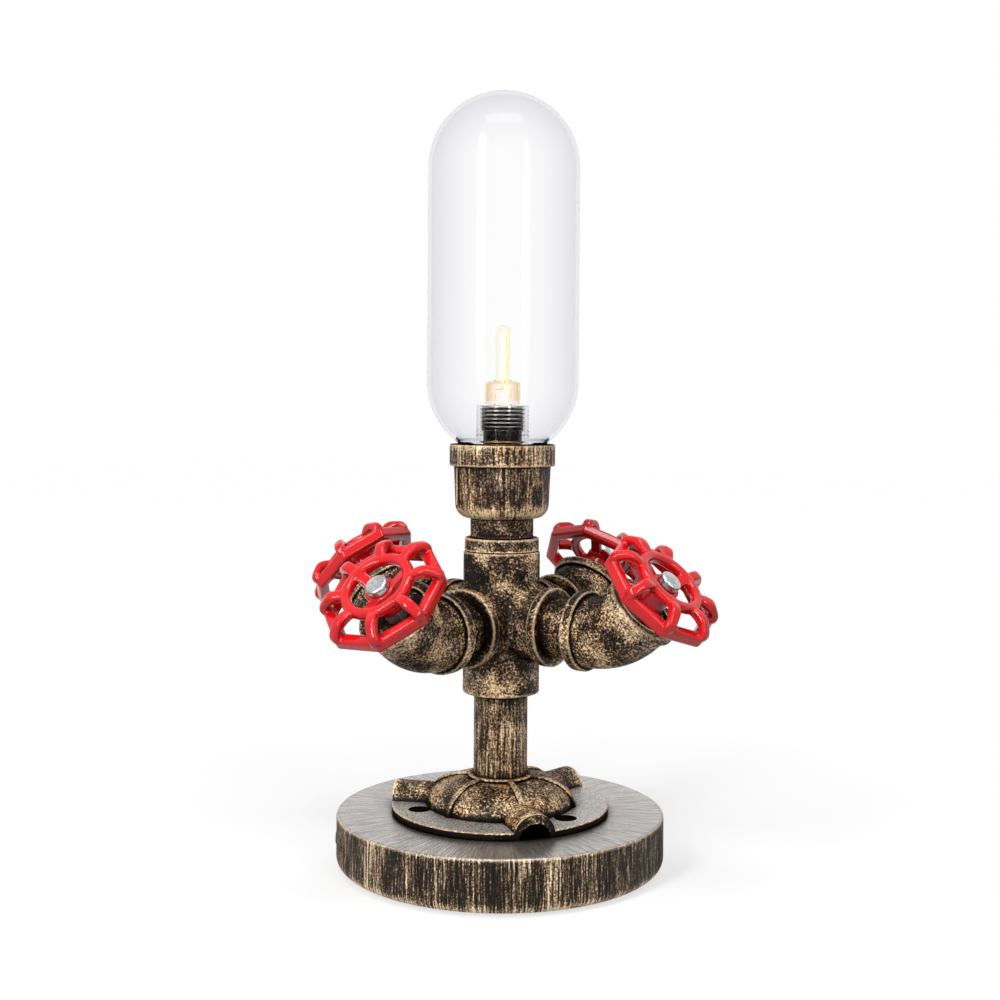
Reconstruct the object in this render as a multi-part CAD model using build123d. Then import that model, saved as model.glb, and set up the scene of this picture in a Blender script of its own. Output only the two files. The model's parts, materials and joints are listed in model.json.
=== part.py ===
from build123d import *
import math
import os

# Table lamp of pipe fittings: a round base, a floor flange, a stem, a six-way cross with four short
# arms that each end in a turning handwheel, and a cup that carries a screw-on glass over a pin bulb.
# Millimetres and degrees. Z is up, the origin is the centre of the underside, and +X is one arm.

os.makedirs("parts", exist_ok=True)

# ---- fits -------------------------------------------------------------------------------------
clear = 0.3             # gap between pieces that move past each other or lie loosely together
running = 0.08          # radial play of a handwheel on its bolt
overrun = 1.0           # how far a cutting tool passes the face that it cuts

# ---- base -------------------------------------------------------------------------------------
base_diameter = 150.0
base_thickness = 23.5
base_foot_round = 5.0
base_rim_round = 1.2
pad_diameter = 134.0
pad_thickness = 2.0
pad_proud = 1.0         # how far the pad stands below the base
pocket_diameter = 92.0
pocket_depth = 16.0     # measured from the underside of the base

# ---- cord inlet -------------------------------------------------------------------------------
gland_angle = 215.5
gland_height = 11.0
gland_bore = 3.8
gland_body = 5.0
gland_rim = 5.6
gland_rim_thickness = 0.6
gland_rim_round = 0.2
tunnel_bore = 4.4       # hole through the base wall behind the gland's seat
gland_seat_depth = 8.0

# ---- floor flange -----------------------------------------------------------------------------
flange_diameter = 99.6
flange_plate = 3.2
plate_round = 0.7
flange_height = 17.0
flange_turn = -36.5     # angle of the first tunnel
flange_repeats = 3
dome_foot_radius = 34.0
dome_crown_radius = 15.0
dome_crown_drop = 1.6
dome_wall = 3.6
hollow_shoulder = 6.0   # width of the level part of the hollow, out from the crown
hollow_foot_drop = 1.2  # hollow's lower corner under the top of the plate
neck_wall = 2.6
rib_width = 3.0
rib_rise = 1.3
tunnel_radius = 9.4
tunnel_inner_radius = 7.4
tunnel_centre_rise = 1.4
tunnel_inner_sink = 0.5
screw_hole_diameter = 10.2
screw_hole_circle = 77.2
screw_hole_offset = 31.0

# ---- stem -------------------------------------------------------------------------------------
stem_diameter = 24.7
stem_bore = 19.6
stem_shows = 37.4       # between the flange and the cross
stem_below_web = 10.5   # thread that hangs below the base web
washer_diameter = 44.0
washer_thickness = 2.0
backnut_flats = 36.0
backnut_height = 7.5

# ---- six-way cross ----------------------------------------------------------------------------
hub_drop = 32.2         # arm axis to the lower end of the cross
hub_rise = 32.8         # arm axis to the upper end
hub_radius = 17.6
outlet_radius = 16.2
outlet_reach = 30.0     # lamp axis to the face of a side outlet
collar_radius = 17.7
collar_width = 4.6
bead = 0.9              # softened edge of every cast collar
saddle_round = 3.0
hub_passage = 21.0
thread_depth = 12.0     # how deep a pipe end sits in a fitting

# ---- arms -------------------------------------------------------------------------------------
arm_count = 4
nipple_diameter = 26.8
nipple_bore = 20.0
nipple_gap = 13.0       # nipple that shows between the cross and an elbow
elbow_turn = 45.0
elbow_bend_radius = 30.0
elbow_inlet_leg = 20.3  # inlet face to the corner of the two axes
elbow_outlet_leg = 18.0
elbow_radius = 15.9
elbow_inlet_collar = 5.2
elbow_outlet_collar = 4.2
plug_recess = 1.5
plug_thickness = 8.0
plug_chamfer = 0.8
elbow_socket = 11.0     # how deep a nipple sits in an elbow
elbow_roll = (0.0, 0.0, 0.0, 0.0)

# ---- handwheels -------------------------------------------------------------------------------
wheel_radius = 28.5     # wheel axis to an outer corner
wheel_corners = 8
wheel_height = 12.8     # rim underside to the crown of a rib
rim_width = 5.2
rim_height = 5.8
rim_round = 1.6
rib_bar = 4.8
rib_depth = 4.3
ring_inner_radius = 12.2
ring_bar = 4.6
ring_top = 12.1         # above the rim underside
ring_round = 1.8
spoke_count = 3
spoke_width = 4.8
spoke_depth = 3.6
boss_radius = 6.5
boss_top = 8.1
boss_length = 11.6
boss_round = 0.6
spoke_drop = 0.9        # spoke's outer end under the top of the ring
wheel_turn = (-91.0, 10.0, 25.0, 70.0)
bolt_diameter = 6.0
bolt_grip = 8.0         # thread held in the plug
bolt_head_diameter = 10.0
bolt_head_height = 3.4
bolt_head_round = 1.1
locknut_flats = 10.0
locknut_height = 5.0

# ---- neck and cup -----------------------------------------------------------------------------
bush_radius = 17.1
bush_head = 6.2
bush_round = 0.6
bush_shank_diameter = 27.4
bush_shank = 10.0
neck_diameter = 29.0
neck_shows = 8.9        # between the bush and the cup
neck_spigot_diameter = 21.6
neck_spigot = 8.0
neck_bore = 15.0
neck_round = 0.5
spigot_in_cup = 3.0     # spigot above the floor of the cup
cup_height = 34.0
cup_rim_step = 1.95     # rim out from the bowl
cup_rim_height = 10.0
cup_rim_round = 0.7
cup_top_radius = 22.4
cup_foot_radius = 21.3
cup_foot_round = 6.5
cup_wall = 2.6
cup_seam_rise = 0.35
cup_seam_width = 1.0
cup_seam_angle = -119.5
cover_thickness = 1.6
cover_recess = 0.6

# ---- lampholder -------------------------------------------------------------------------------
spacer_radius = 8.7
spacer_height = 2.4
spacer_round = 0.4
sleeve_skirt_radius = 9.0
sleeve_skirt_height = 4.4
sleeve_thread_radius = 10.4
sleeve_thread_height = 11.0
sleeve_pitch = 1.83
sleeve_thread_depth = 0.7
sleeve_bore_radius = 8.0
sleeve_floor = 1.2
rod_diameter = 10.0
rod_bore = 7.0
rod_below = 6.5         # rod below the cover
rod_nut_flats = 14.0
rod_nut_height = 3.0
core_stands = 0.8       # ceramic above the sleeve
core_chamber = 2.6
core_chamfer = 0.5
pin_spacing = 9.0
contact_outer = 3.0
contact_bore = 1.7
contact_sink = 0.5      # below the ceramic's face
contact_tag = 0.8
contact_tag_width = 1.6

# ---- bulb -------------------------------------------------------------------------------------
bulb_seat_gap = 0.3
bulb_body_radius = 8.1
bulb_body_height = 9.3
bulb_tip_radius = 3.7
bulb_length = 36.6
bulb_shoulder = 2.5
bulb_wall = 0.8
bulb_foot = 1.6
pin_diameter = 1.0
pin_length = 7.0
filament_diameter = 0.9
filament_top_gap = 2.6
filament_lift = 2.0
electrode_diameter = 0.7
electrode_reach = 4.4
hook_overhang = 1.7     # top wire past the filament
electrode_bend = 1.1

# ---- glass ------------------------------------------------------------------------------------
glass_radius = 35.0
glass_height = 162.2
glass_wall = 1.6
glass_foot_radius = 20.5
glass_seat_gap = 1.0    # underside of the glass above the cup's cover
glass_neck_radius = 12.3
glass_neck_height = 17.6
glass_thread_depth = 0.35

# ---- wiring -----------------------------------------------------------------------------------
lead_diameter = 1.5
lead_spacing = 3.0
lead_turn_radius = 6.0
lead_dip_radius = 2.0   # where the leads dip under the backnut
lead_floor_gap = 1.4    # leads above the pad, under the stem
block_width = 16.0
block_length = 12.0
block_height = 10.0
block_round = 1.0
block_wall_gap = 3.0    # terminal block to the wall of the pocket
block_screw_diameter = 2.8
block_screw_depth = 4.0
block_screw_sink = 0.5
block_wire_height = 3.0 # wire holes above the underside of the block

# ---- levels worked out from the sizes above ---------------------------------------------------
base_bottom = pad_proud
base_top = base_bottom + base_thickness
web_bottom = base_bottom + pocket_depth
plate_top = base_top + flange_plate
flange_top = base_top + flange_height
stem_bottom = web_bottom - stem_below_web
hub_bottom = flange_top + stem_shows
arm_height = hub_bottom + hub_drop
hub_top = arm_height + hub_rise
stem_top = hub_bottom + thread_depth
bush_top = hub_top + bush_head
cup_bottom = bush_top + neck_shows
cup_top = cup_bottom + cup_height
cover_top = cup_top - cover_recess
sleeve_bottom = cover_top + spacer_height
skirt_top = sleeve_bottom + sleeve_skirt_height
sleeve_top = skirt_top + sleeve_thread_height
core_bottom = sleeve_bottom + sleeve_floor
core_top = sleeve_top + core_stands
bulb_bottom = core_top + bulb_seat_gap
contact_top = core_top - contact_sink
contact_bottom = core_bottom + core_chamber
lead_top = contact_bottom - contact_tag
cup_rim_radius = cup_top_radius + cup_rim_step
block_radius = pocket_diameter / 2 - block_wall_gap - block_length / 2
glass_bottom = cover_top + glass_seat_gap
glass_top = glass_bottom + glass_height
elbow_inlet = outlet_reach + nipple_gap
elbow_corner = elbow_inlet + elbow_inlet_leg
plug_top = elbow_outlet_leg - plug_recess
plug_bottom = plug_top - plug_thickness
boss_bottom = plug_top + locknut_height + clear
wheel_level = boss_bottom + boss_length - boss_top
head_bottom = wheel_level + boss_top + clear
wheel_bore = bolt_diameter + 2 * running


# ---- small helpers ----------------------------------------------------------------------------
def rod(radius, low, high):
    """A cylinder on the Z axis between two levels."""
    return Pos(0, 0, low) * Cylinder(radius, high - low, align=(Align.CENTER, Align.CENTER, Align.MIN))


def tube(outer, inner, low, high):
    return rod(outer, low, high) - rod(inner, low - overrun, high + overrun)


def turned(points):
    """A solid of revolution about Z, from the corners of its half section."""
    return revolve(Plane.XZ * make_face(Polyline(*points, close=True)), Axis.Z)


def turned_face(edges):
    return revolve(Plane.XZ * make_face(edges), Axis.Z)


def softened_rod(radius, low, high, edge):
    """A cylinder whose two end edges are rounded, as on a cast collar."""
    body = rod(radius, low, high)
    return fillet(body.edges().filter_by(GeomType.CIRCLE), edge)


def hexagon(flats, low, high, bore):
    profile = RegularPolygon(flats / 2, 6, major_radius=False)
    nut = Pos(0, 0, low) * extrude(profile, high - low)
    cone = rod(flats * 0.56, low, high)
    cone = chamfer(cone.edges().filter_by(GeomType.CIRCLE), flats * 0.04)
    return (nut & cone) - rod(bore / 2, low - overrun, high + overrun)


def threaded_outline(outer, depth, low, high, pitch):
    """Points of a ribbed outline that stands for a rolled thread, from the lower end up."""
    turns = max(1, int((high - low) / pitch))
    step = (high - low) / turns
    points = []
    for turn in range(turns):
        foot = low + turn * step
        points += [
            (outer - depth, foot),
            (outer - depth, foot + 0.15 * step),
            (outer, foot + 0.4 * step),
            (outer, foot + 0.6 * step),
            (outer - depth, foot + 0.85 * step),
        ]
    return points + [(outer - depth, high)]


def around(count, first=0.0):
    """Evenly spaced turns about Z."""
    return [Rot(0, 0, first + 360.0 * index / count) for index in range(count)]


def whole(shape):
    """One solid out of a boolean result that may come back as a list or a group."""
    solids = ShapeList(shape.solids() if hasattr(shape, "solids") else [s for x in shape for s in x.solids()])
    return solids.sort_by(SortBy.VOLUME)[-1]


def save(name, *solids):
    group = [solid for item in solids for solid in item.solids()]
    shape = group[0] if len(group) == 1 else Compound(children=group)
    shape.label = name
    export_step(shape, f"parts/{name}.step")


# ---- base -------------------------------------------------------------------------------------
def gland_place():
    """Z points out through the base wall and the origin lies on the wall."""
    return Rot(0, 0, gland_angle) * Pos(base_diameter / 2, 0, gland_height) * Rot(0, 90, 0)


def make_base():
    body = rod(base_diameter / 2, base_bottom, base_top)
    body = fillet(body.edges().filter_by(GeomType.CIRCLE).sort_by(Axis.Z)[0], base_foot_round)
    body = fillet(body.edges().filter_by(GeomType.CIRCLE).sort_by(Axis.Z)[-1], base_rim_round)
    body -= rod(pad_diameter / 2 + clear, 0, base_bottom + pad_thickness - pad_proud)
    body -= rod(pocket_diameter / 2, 0, web_bottom)
    body -= rod(stem_diameter / 2 + clear, 0, base_top + overrun)
    wall = (base_diameter - pocket_diameter) / 2
    body -= gland_place() * rod(tunnel_bore / 2, -wall - overrun, overrun)
    body -= gland_place() * rod(gland_body / 2, -gland_seat_depth, overrun)
    return whole(body)


def make_pad():
    return rod(pad_diameter / 2, 0, pad_thickness)


def make_gland():
    rim = softened_rod(gland_rim / 2, 0, gland_rim_thickness, gland_rim_round)
    body = rod(gland_body / 2, -gland_seat_depth, gland_rim_thickness / 2)
    bore = rod(gland_bore / 2, -gland_seat_depth - overrun, gland_rim_thickness + overrun)
    return gland_place() * whole(rim + body - bore)


# ---- floor flange -----------------------------------------------------------------------------
def dome_level(radius):
    """Height of the dome's outer skin at a radius, a quarter ellipse from foot to crown."""
    reach = (radius - dome_crown_radius) / (dome_foot_radius - dome_crown_radius)
    rise = flange_top - dome_crown_drop - plate_top
    return plate_top + rise * math.sqrt(max(0.0, 1 - reach * reach))


def dome_curve(shift=0.0, steps=6):
    """Points down the dome's skin from crown to foot, each lifted by shift."""
    points = []
    for step in range(steps + 1):
        angle = math.radians(90.0 * step / steps)
        reach = math.sin(angle)
        radius = dome_crown_radius + (dome_foot_radius - dome_crown_radius) * reach
        points.append((radius + shift * math.sin(angle), dome_level(radius) + shift * math.cos(angle)))
    return points


def make_dome_rib():
    """One raised bead that runs from the neck down the dome to the plate."""
    outer = dome_curve(rib_rise)
    root = dome_crown_radius - rib_rise
    edges = [Polyline((outer[-1][0], plate_top), (root, plate_top), (root, outer[0][1]), outer[0]),
             Spline(*outer)]
    bar = extrude(Plane.XZ * make_face(edges), rib_width / 2, both=True)
    crown = bar.edges().filter_by(GeomType.BSPLINE)
    return fillet(crown, min(rib_width / 2 - 0.2, rib_rise - 0.1))


def make_flange():
    outer = flange_diameter / 2
    plate = softened_rod(outer, base_top, plate_top, plate_round)
    skin = dome_curve()
    dome = turned_face([Polyline((0, base_top), (0, skin[0][1]), skin[0]), Spline(*skin),
                        Polyline(skin[-1], (skin[-1][0], base_top), (0, base_top))])
    neck = softened_rod(stem_diameter / 2 + neck_wall, plate_top, flange_top, bead)
    body = plate + dome + neck
    tunnel_axis = Pos(0, 0, base_top + tunnel_centre_rise) * Rot(0, 90, 0)
    hollow_axis = Pos(0, 0, base_top - tunnel_inner_sink) * Rot(0, 90, 0)
    keep = rod(outer, base_top, flange_top)
    for turn in around(flange_repeats, flange_turn):
        body += turn * (tunnel_axis * rod(tunnel_radius, dome_crown_radius, outer + overrun)) & keep
    for turn in around(2 * flange_repeats, flange_turn):
        body += turn * make_dome_rib()
    neck_radius = stem_diameter / 2 + neck_wall
    shell_foot = dome_foot_radius - dome_wall
    shoulder = dome_crown_radius + hollow_shoulder
    hollow = turned([
        (neck_radius, base_top - overrun), (neck_radius, dome_level(dome_crown_radius) - dome_wall),
        (shoulder, dome_level(shoulder) - dome_wall), (shell_foot, plate_top - hollow_foot_drop),
        (shell_foot, base_top - overrun),
    ])
    body -= hollow
    for turn in around(flange_repeats, flange_turn):
        body -= turn * (hollow_axis * rod(tunnel_inner_radius, neck_radius + overrun, outer + overrun))
    for turn in around(flange_repeats, flange_turn + screw_hole_offset):
        hole = Pos(screw_hole_circle / 2, 0, 0) * rod(screw_hole_diameter / 2, base_top - overrun, flange_top)
        body -= turn * hole
    body -= rod(stem_diameter / 2, base_top - overrun, flange_top + overrun)
    return whole(body)


# ---- stem -------------------------------------------------------------------------------------
def make_stem():
    return tube(stem_diameter / 2, stem_bore / 2, stem_bottom, stem_top)


def make_base_washer():
    return tube(washer_diameter / 2, stem_diameter / 2, web_bottom - washer_thickness, web_bottom)


def make_base_backnut():
    top = web_bottom - washer_thickness
    return whole(hexagon(backnut_flats, top - backnut_height, top, stem_diameter))


# ---- six-way cross ----------------------------------------------------------------------------
def side_axis():
    """Z of this place points out along the +X arm, from the lamp's axis."""
    return Pos(0, 0, arm_height) * Rot(0, 90, 0)


def make_hub():
    body = rod(hub_radius, hub_bottom, hub_top)
    body = fillet(body.edges().filter_by(GeomType.CIRCLE), bead)
    for turn in around(arm_count):
        body += turn * side_axis() * rod(outlet_radius, 0, outlet_reach - collar_width / 2)
    joins = [edge for edge in body.edges() if on_saddle(edge)]
    body = fillet(joins, saddle_round)
    for turn in around(arm_count):
        collar = softened_rod(collar_radius, outlet_reach - collar_width, outlet_reach, bead)
        body += turn * side_axis() * collar
    body -= rod(stem_diameter / 2, hub_bottom - overrun, hub_bottom + thread_depth)
    body -= rod(bush_shank_diameter / 2, hub_top - bush_shank - 2, hub_top + overrun)
    body -= rod(hub_passage / 2, hub_bottom, hub_top)
    for turn in around(arm_count):
        socket = rod(nipple_diameter / 2, outlet_reach - thread_depth, outlet_reach + overrun)
        body -= turn * side_axis() * socket
        body -= turn * side_axis() * rod(hub_passage / 2, 0, outlet_reach)
    return whole(body)


def on_saddle(edge):
    """True for the curves where the side outlets meet the upright tube and each other."""
    middle = edge.center(CenterOf.BOUNDING_BOX)
    reach = math.hypot(middle.X, middle.Y)
    inside = abs(middle.Z - arm_height) < outlet_radius + 1
    return inside and 1 < reach < outlet_reach - collar_width


# ---- arms -------------------------------------------------------------------------------------
def make_nipple():
    inner_end = outlet_reach - thread_depth
    outer_end = elbow_inlet + elbow_socket
    return side_axis() * tube(nipple_diameter / 2, nipple_bore / 2, inner_end, outer_end)


def elbow_place(index):
    """Corner of an elbow's two axes; local X is the arm's axis and the bend lies in XZ."""
    arm = Rot(0, 0, 360.0 * index / arm_count)
    return arm * Pos(elbow_corner, 0, arm_height) * Rot(elbow_roll[index], 0, 0)


def outlet_axis():
    """Z of this place, in an elbow's own frame, points out of its raised end."""
    return Rot(0, 90 - elbow_turn, 0)


def bent_bar(radius, inlet_leg, outlet_leg):
    """A round bar along the elbow's centre line: straight, a bend, and straight again."""
    tangent = elbow_bend_radius * math.tan(math.radians(elbow_turn / 2))
    inlet = Rot(0, 90, 0) * rod(radius, -inlet_leg, -tangent)
    outlet = outlet_axis() * rod(radius, tangent, outlet_leg)
    pivot = Axis((-tangent, 0, elbow_bend_radius), (0, -1, 0))
    start = Plane(origin=(-tangent, 0, 0), z_dir=(1, 0, 0)) * Circle(radius)
    return inlet + revolve(start, pivot, elbow_turn) + outlet


def make_elbow():
    collar_in = Rot(0, 90, 0) * softened_rod(
        collar_radius, -elbow_inlet_leg, elbow_inlet_collar - elbow_inlet_leg, bead)
    collar_out = outlet_axis() * softened_rod(
        collar_radius, elbow_outlet_leg - elbow_outlet_collar, elbow_outlet_leg, bead)
    body = bent_bar(elbow_radius, elbow_inlet_leg - overrun, elbow_outlet_leg - overrun)
    body += collar_in + collar_out
    body -= bent_bar(hub_passage / 2, elbow_inlet_leg + overrun, elbow_outlet_leg + overrun)
    body -= Rot(0, 90, 0) * rod(
        nipple_diameter / 2, -elbow_inlet_leg - overrun, elbow_socket - elbow_inlet_leg)
    body -= outlet_axis() * rod(nipple_diameter / 2, plug_bottom, elbow_outlet_leg + overrun)
    return whole(body)


def make_plug():
    plug = rod(nipple_diameter / 2, plug_bottom, plug_top)
    plug = chamfer(plug.edges().filter_by(GeomType.CIRCLE).sort_by(Axis.Z)[-1], plug_chamfer)
    return whole(plug - rod(bolt_diameter / 2, plug_bottom - overrun, plug_top + overrun))


# ---- handwheels -------------------------------------------------------------------------------
def make_wheel_rib():
    """An arched bar from the inner ring up, out and down to a corner of the rim."""
    ring_outer = ring_inner_radius + ring_bar
    foot = rim_height - rim_round
    corner = wheel_radius - 0.2
    over = [
        (ring_outer - 1.2, ring_top - 0.3),
        (ring_outer + 2.2, wheel_height - 0.1),
        (0.5 * (ring_outer + corner), wheel_height - 0.3),
        (corner - 2.6, wheel_height - 2.4),
        (corner - 0.5, 0.5 * (wheel_height + foot)),
        (corner, foot),
    ]
    inner_corner = corner - rib_depth
    under = [
        (inner_corner, foot),
        (inner_corner - 0.4, 0.5 * (wheel_height + foot) - 1.0),
        (inner_corner - 1.8, wheel_height - rib_depth - 0.6),
        (ring_outer + 1.8, wheel_height - rib_depth - 0.1),
        (ring_outer - 1.2, ring_top - rib_depth),
    ]
    edges = [Spline(*over), Line(over[-1], under[0]), Spline(*under), Line(under[-1], over[0])]
    bar = extrude(Plane.XZ * make_face(edges), rib_bar / 2, both=True)
    return fillet(bar.edges().filter_by(GeomType.BSPLINE), rim_round - 0.2)


def make_wheel():
    """A cast handwheel with its axis on Z and the rim's underside at Z = 0."""
    inner_corner = wheel_radius - rim_width / math.cos(math.pi / wheel_corners)
    rim = extrude(RegularPolygon(wheel_radius, wheel_corners) - RegularPolygon(inner_corner, wheel_corners),
                  rim_height)
    rim = fillet(rim.edges(), rim_round)
    low = ring_top - ring_bar
    section = Pos(ring_inner_radius + ring_bar / 2, low + ring_bar / 2) * RectangleRounded(
        ring_bar, ring_bar, ring_round)
    ring = revolve(Plane.XZ * section, Axis.Z)
    boss_low = boss_top - boss_length
    boss = softened_rod(boss_radius, boss_low, boss_top, boss_round)
    spoke_end = ring_inner_radius + overrun
    spoke_points = [
        (bolt_diameter, boss_top), (boss_radius, boss_top), (spoke_end, ring_top - spoke_drop),
        (spoke_end, ring_top - spoke_drop - spoke_depth), (boss_radius, boss_top - spoke_depth),
        (bolt_diameter, boss_top - spoke_depth),
    ]
    spoke = extrude(Plane.XZ * make_face(Polyline(*spoke_points, close=True)), spoke_width / 2, both=True)
    wheel = rim + ring + boss
    for turn in around(wheel_corners):
        wheel += turn * make_wheel_rib()
    for turn in around(spoke_count, 0.5 * 360 / spoke_count):
        wheel += turn * spoke
    return whole(wheel - rod(wheel_bore / 2, boss_low - overrun, boss_top + overrun))


def make_bolt():
    head = rod(bolt_head_diameter / 2, head_bottom, head_bottom + bolt_head_height)
    head = fillet(head.edges().filter_by(GeomType.CIRCLE).sort_by(Axis.Z)[-1], bolt_head_round)
    return whole(head + rod(bolt_diameter / 2, plug_top - bolt_grip, head_bottom))


def make_locknut():
    return whole(hexagon(locknut_flats, plug_top, plug_top + locknut_height, bolt_diameter))


# ---- neck and cup -----------------------------------------------------------------------------
def make_bush():
    head = softened_rod(bush_radius, hub_top, bush_top, bush_round)
    shank = rod(bush_shank_diameter / 2, hub_top - bush_shank, hub_top + overrun)
    bore = rod(neck_spigot_diameter / 2, hub_top - bush_shank - overrun, bush_top + overrun)
    return whole(head + shank - bore)


def make_neck():
    cup_floor = cup_bottom + cup_wall
    body = rod(neck_diameter / 2, bush_top, cup_bottom)
    body = fillet(body.edges().filter_by(GeomType.CIRCLE), neck_round)
    body += rod(neck_spigot_diameter / 2, bush_top - neck_spigot, bush_top + overrun)
    body += rod(neck_spigot_diameter / 2, cup_bottom - overrun, cup_floor + spigot_in_cup)
    low = bush_top - neck_spigot - overrun
    return whole(body - rod(neck_bore / 2, low, cup_floor + spigot_in_cup + overrun))


def make_cup():
    rim_bottom = cup_top - cup_rim_height
    outer = rod(cup_rim_radius, rim_bottom, cup_top)
    outer = fillet(outer.edges().filter_by(GeomType.CIRCLE), cup_rim_round)
    bowl = turned([(0, cup_bottom), (cup_foot_radius, cup_bottom), (cup_top_radius, rim_bottom + 1),
                   (0, rim_bottom + 1)])
    bowl = fillet(bowl.edges().filter_by(GeomType.CIRCLE).sort_by(Axis.Z)[0], cup_foot_round)
    body = outer + bowl
    seam = Pos(0, 0, cup_bottom + cup_foot_round) * Box(
        cup_top_radius + cup_seam_rise, cup_seam_width, rim_bottom - cup_bottom - cup_foot_round + 0.5,
        align=(Align.MIN, Align.CENTER, Align.MIN))
    for turn in around(2, cup_seam_angle):
        body += turn * seam
    floor = cup_bottom + cup_wall
    hollow = turned([(0, floor), (cup_foot_radius - cup_wall, floor), (cup_top_radius - cup_wall, rim_bottom),
                     (cup_top_radius - cup_wall, cover_top - cover_thickness),
                     (cup_top_radius, cover_top - cover_thickness), (cup_top_radius, cup_top + 1),
                     (0, cup_top + 1)])
    hollow = fillet(hollow.edges().filter_by(GeomType.CIRCLE).sort_by(Axis.Z)[0], cup_foot_round - cup_wall)
    return whole(body - hollow - rod(neck_spigot_diameter / 2, cup_bottom - overrun, floor + overrun))


def make_cover():
    return tube(cup_top_radius, rod_diameter / 2, cover_top - cover_thickness, cover_top)


# ---- lampholder -------------------------------------------------------------------------------
def make_spacer():
    ring = tube(spacer_radius, rod_diameter / 2, cover_top, sleeve_bottom)
    edges = ring.edges().filter_by(GeomType.CIRCLE).group_by(SortBy.RADIUS)[-1]
    return whole(fillet(edges, spacer_round))


def make_rod():
    low = cover_top - rod_below
    return tube(rod_diameter / 2, rod_bore / 2, low, core_bottom)


def make_rod_nut():
    top = cover_top - cover_thickness
    return whole(hexagon(rod_nut_flats, top - rod_nut_height, top, rod_diameter))


def make_sleeve():
    thread = threaded_outline(sleeve_thread_radius, sleeve_thread_depth, skirt_top, sleeve_top, sleeve_pitch)
    outline = [(rod_diameter / 2, sleeve_bottom), (sleeve_skirt_radius, sleeve_bottom)]
    outline += [(sleeve_skirt_radius, skirt_top)] + thread
    outline += [(sleeve_bore_radius, sleeve_top), (sleeve_bore_radius, core_bottom),
                (rod_diameter / 2, core_bottom)]
    return whole(turned(outline))


def make_core():
    """Ceramic body of the lampholder, hollow below for the leads, with two contact holes."""
    body = rod(sleeve_bore_radius, core_bottom, core_top)
    body = chamfer(body.edges().filter_by(GeomType.CIRCLE).sort_by(Axis.Z)[-1], core_chamfer)
    body -= rod(pin_spacing / 2 + contact_outer / 2 + 0.5, core_bottom - 1, core_bottom + core_chamber)
    for side in (-1, 1):
        body -= Pos(side * pin_spacing / 2, 0, 0) * rod(contact_outer / 2, core_bottom, core_top + 1)
    return whole(body)


def make_contacts():
    """Two spring sleeves with a tag at the foot that the leads are joined to."""
    made = []
    for side in (-1, 1):
        reach = (pin_spacing - lead_spacing) / 2
        sleeve = Pos(side * pin_spacing / 2, 0, 0) * tube(
            contact_outer / 2, contact_bore / 2, contact_bottom, contact_top)
        middle = side * (lead_spacing + reach) / 2
        tag = Pos(middle, 0, lead_top + contact_tag / 2) * Box(
            reach + contact_bore, contact_tag_width, contact_tag)
        made.append(whole(sleeve + tag))
    return made


# ---- bulb -------------------------------------------------------------------------------------
def make_bulb_glass():
    """A blown body with a narrow closed tube on top, solid glass at the foot."""
    shoulder = bulb_bottom + bulb_body_height
    tube_start = shoulder + bulb_shoulder
    tip = bulb_bottom + bulb_length

    def skin(inset):
        body, neck = bulb_body_radius - inset, bulb_tip_radius - inset
        foot = bulb_bottom + (bulb_foot if inset else 0.0)
        return turned_face([
            Polyline((0, foot), (body, foot), (body, shoulder - inset)),
            Spline((body, shoulder - inset), (0.5 * (body + neck), shoulder + 0.5 * bulb_shoulder),
                   (neck, tube_start), tangents=((0, 1), (0, 1))),
            Line((neck, tube_start), (neck, tip - bulb_tip_radius)),
            CenterArc((0, tip - bulb_tip_radius), neck, 0, 90),
            Line((0, tip - bulb_tip_radius + neck), (0, foot)),
        ])

    return whole(skin(0.0) - skin(bulb_wall))


def make_bulb_pins():
    return [Pos(side * pin_spacing / 2, 0, 0) * rod(pin_diameter / 2, bulb_bottom - pin_length, bulb_bottom)
            for side in (-1, 1)]


def filament_levels():
    low = bulb_bottom + bulb_body_height + filament_lift
    return low, bulb_bottom + bulb_length - filament_top_gap


def make_bulb_filament():
    low, high = filament_levels()
    return rod(filament_diameter / 2, low, high)


def make_bulb_electrodes():
    """Two stout lead-in wires: up from the foot, then bent in towards the filament's ends."""
    low, high = filament_levels()
    foot = bulb_bottom + bulb_foot
    offset = bulb_tip_radius - bulb_wall - electrode_diameter
    middle = bulb_bottom + 0.75 * bulb_body_height
    hook = high + electrode_diameter / 2
    routes = (
        [(-electrode_reach, 0, foot), (-electrode_reach, 0, middle), (0, 0, middle), (0, 0, low)],
        [(electrode_reach, 0, foot), (electrode_reach, 0, middle), (offset, 0, middle + 2.0),
         (offset, 0, hook), (-hook_overhang, 0, hook)],
    )
    made = []
    for points in routes:
        path = FilletPolyline(*points, radius=[electrode_bend] * (len(points) - 2))
        section = Plane(origin=path @ 0, z_dir=path % 0) * Circle(electrode_diameter / 2)
        made.append(whole(sweep(section, path)))
    return made


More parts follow.
